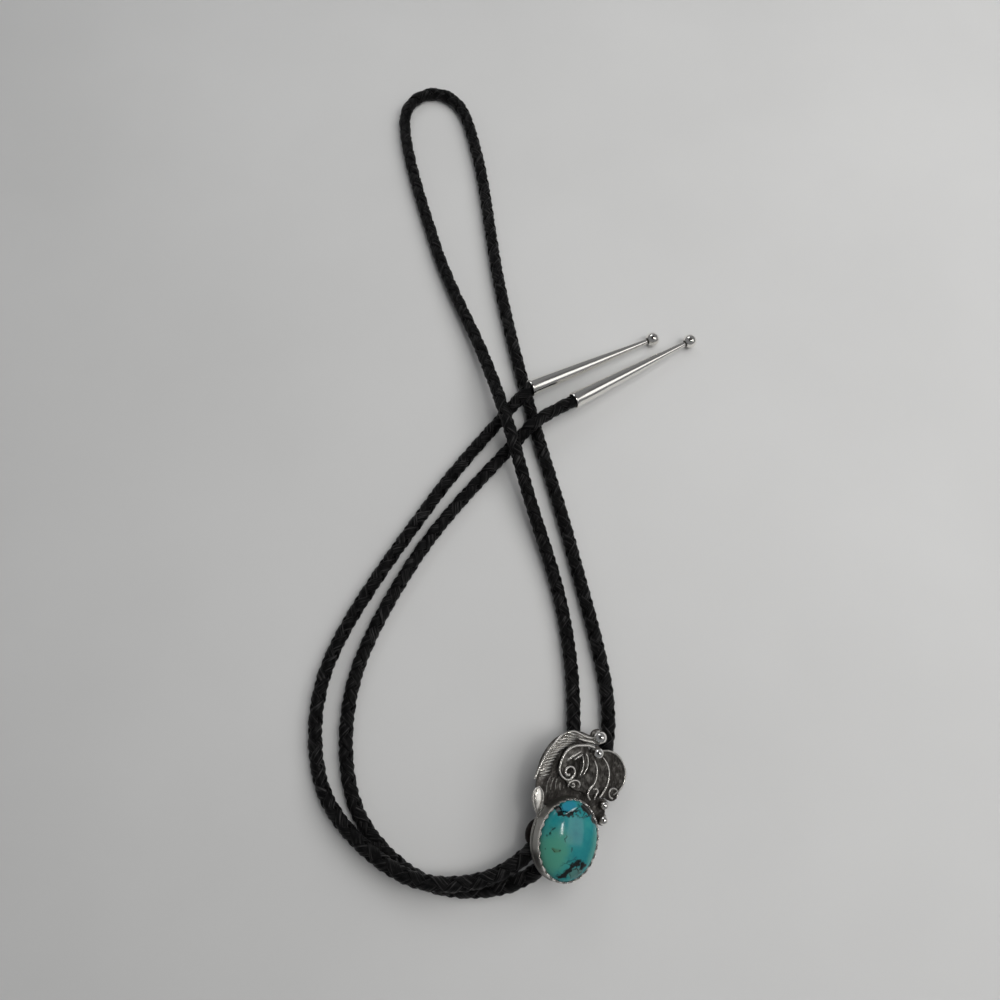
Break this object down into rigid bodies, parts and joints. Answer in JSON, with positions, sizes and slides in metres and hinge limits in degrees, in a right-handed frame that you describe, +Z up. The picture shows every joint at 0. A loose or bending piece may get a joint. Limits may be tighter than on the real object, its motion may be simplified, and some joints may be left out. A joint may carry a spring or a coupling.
{
  "type": "bolo tie",
  "caption": "Bolo tie lying flat: a silver and turquoise slide clipped on a long round braided leather cord with silver cone tips.",
  "frame": {"origin": "on the table, under the middle of the slide with its stone and clip", "axes": "+X to the right in the picture, +Y away along the table towards the top of the neck loop, +Z up"},
  "size_m": [0.1318, 0.3026, 0.018],
  "materials": {
    "oxidised_silver": "cast and stamped silver, dark in the recesses and polished on the high parts",
    "turquoise": "polished turquoise with dark matrix",
    "tarnished_brass": "dark tarnished brass",
    "braided_leather": "black braided leather laces with a soft sheen",
    "tip_silver": "polished silver"
  },
  "bodies": {
    "root": {"slide_setting": "oxidised_silver", "turquoise_stone": "turquoise", "back_clip": "tarnished_brass", "braided_cord": "braided_leather", "tip_upper": "tip_silver", "tip_lower": "tip_silver"}
  },
  "joints": []
}
